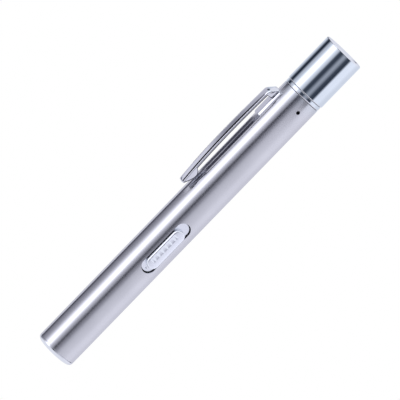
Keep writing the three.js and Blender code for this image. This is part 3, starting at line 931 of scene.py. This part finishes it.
def make_world():
    """The studio's bands, and plain white where the camera sees past the floor."""
    world = bpy.data.worlds.new("studio")
    bpy.context.scene.world = world
    world.use_nodes = True
    tree = world.node_tree
    place = add_node(tree, "ShaderNodeTexCoord")
    parts = separated(tree, place.outputs["Generated"])
    bands = bands_round_x(tree, parts, STUDIO, STUDIO_TINT)
    slant = calculated(tree, "ABSOLUTE", parts["X"])
    fade = share_between(tree, slant, FADE_START, FADE_END)
    reflected = mixed(tree, fade, bands, grey_in_steel(END_GREY, END_TINT))
    path = add_node(tree, "ShaderNodeLightPath")
    shown = mixed(tree, path.outputs["Is Camera Ray"], reflected, (1, 1, 1, 1))
    tree.links.new(shown, tree.nodes["Background"].inputs["Color"])


def glossy_only(obj):
    """A studio piece that nothing but the metal's reflections can show."""
    obj.visible_camera = False
    obj.visible_diffuse = False
    obj.visible_shadow = False
    obj.visible_transmission = False


def seen_from_nearby(tree, shader, reach):
    """Makes a card clear to rays that come from farther away."""
    path = add_node(tree, "ShaderNodeLightPath")
    near = calculated(tree, "LESS_THAN", path.outputs["Ray Length"], reach)
    mix = add_node(tree, "ShaderNodeMixShader")
    clear = add_node(tree, "ShaderNodeBsdfTransparent")
    links = tree.links
    links.new(near, mix.inputs["Fac"])
    links.new(clear.outputs["BSDF"], mix.inputs[1])
    links.new(shader.outputs["BSDF"], mix.inputs[2])
    links.new(mix.outputs["Shader"], tree.nodes["Material Output"].inputs["Surface"])


def make_head_tent():
    """A short tube of studio card round the lamp head, dark past the lamp on the clip side."""
    tent_x = RING_X[0] - 2.8 * MM, HEAD_X[1] + 5.5 * MM
    dark_x = HEAD_X[1] + 1.0 * MM
    radius = 30 * MM
    reach = 31 * MM
    sides = 96
    verts = []
    for x in tent_x:
        for k in range(sides):
            angle = 2 * math.pi * k / sides
            verts.append((x, radius * math.cos(angle), radius * math.sin(angle)))
    loops = list(range(sides)), list(range(sides, 2 * sides))
    material, tree, shader = card_material("tent_card")
    place = add_node(tree, "ShaderNodeTexCoord")
    parts = separated(tree, place.outputs["Object"])
    bands = bands_round_x(tree, parts, HEAD_STUDIO, HEAD_TINT)
    past_lamp = calculated(tree, "GREATER_THAN", parts["X"], dark_x)
    clip_side = calculated(tree, "GREATER_THAN", parts["Y"], 0)
    dark = calculated(tree, "MULTIPLY", past_lamp, clip_side)
    shown = mixed(tree, dark, bands, grey(50, HEAD_TINT))
    tree.links.new(shown, shader.inputs["Emission Color"])
    seen_from_nearby(tree, shader, reach)
    glossy_only(new_object("head_tent", verts, walls_between(*loops), material))


# Cards that the clip and the metal near it reflect, in mm: where each lies in Y and Z, screen
# greys at places along X from end to end, and how far away it is seen, or None for any distance.
CLIP_CARDS = {
    # The dark line along the rounded corner of the web.
    "corner_card": (
        (16, 16), (-2.4, 3.3), [(65, 40), (76, 8), (88, 2), (98, 3), (103, 60), (106.8, 130)], 7.5,
    ),
    # The web's own shades.
    "web_card": (
        (16, 16), (-42, -2),
        [(66, 205), (80, 204), (85, 170), (89, 140), (94, 134), (99, 160), (107, 180), (111, 188)],
        14.8,
    ),
    # A dark edge on the tube's far side, beyond the arm.
    "rim_card": ((7.6, 11.5), (-12, -12), [(74, 84), (88, 62), (98, 62)], None),
    # The bright and the dark line on the tube under the arm.
    "under_card": ((9.8, 9.8), (0.8, 2.02), [(76, 190), (90, 195), (106, 195)], None),
    "under_shade": ((9.8, 9.8), (-1.9, 0.8), [(76, 68), (90, 58), (98, 58)], None),
    # The flat of the foot.
    "foot_card": ((11.6, 15.8), (-12, -12), [(98.4, 190), (113, 190)], None),
}


def make_clip_cards():
    for name, (y_span, z_span, greys, reach) in CLIP_CARDS.items():
        x0, x1 = greys[0][0], greys[-1][0]
        low, high = zip(y_span, z_span)
        corners = [(x0, *low), (x1, *low), (x1, *high), (x0, *high)]
        material, tree, shader = card_material(name + "_grey")
        place = add_node(tree, "ShaderNodeTexCoord")
        parts = separated(tree, place.outputs["Object"])
        share = share_between(tree, parts["X"], x0 * MM, x1 * MM)
        shown = grey_ramp(tree, share, x0, x1, greys, STUDIO_TINT)
        tree.links.new(shown, shader.inputs["Emission Color"])
        if reach:
            seen_from_nearby(tree, shader, reach * MM)
        glossy_only(new_object(name, [Vector(c) * MM for c in corners], [[0, 1, 2, 3]], material))


bpy.context.scene.view_settings.view_transform = "Standard"
make_camera()
finish_cad_nodes()
make_tube()
make_tail()
make_ring()
make_head()
make_reflector()
make_lens()
make_plate()
make_knob()
make_clip()
make_floor()
make_world()
make_head_tent()
make_clip_cards()
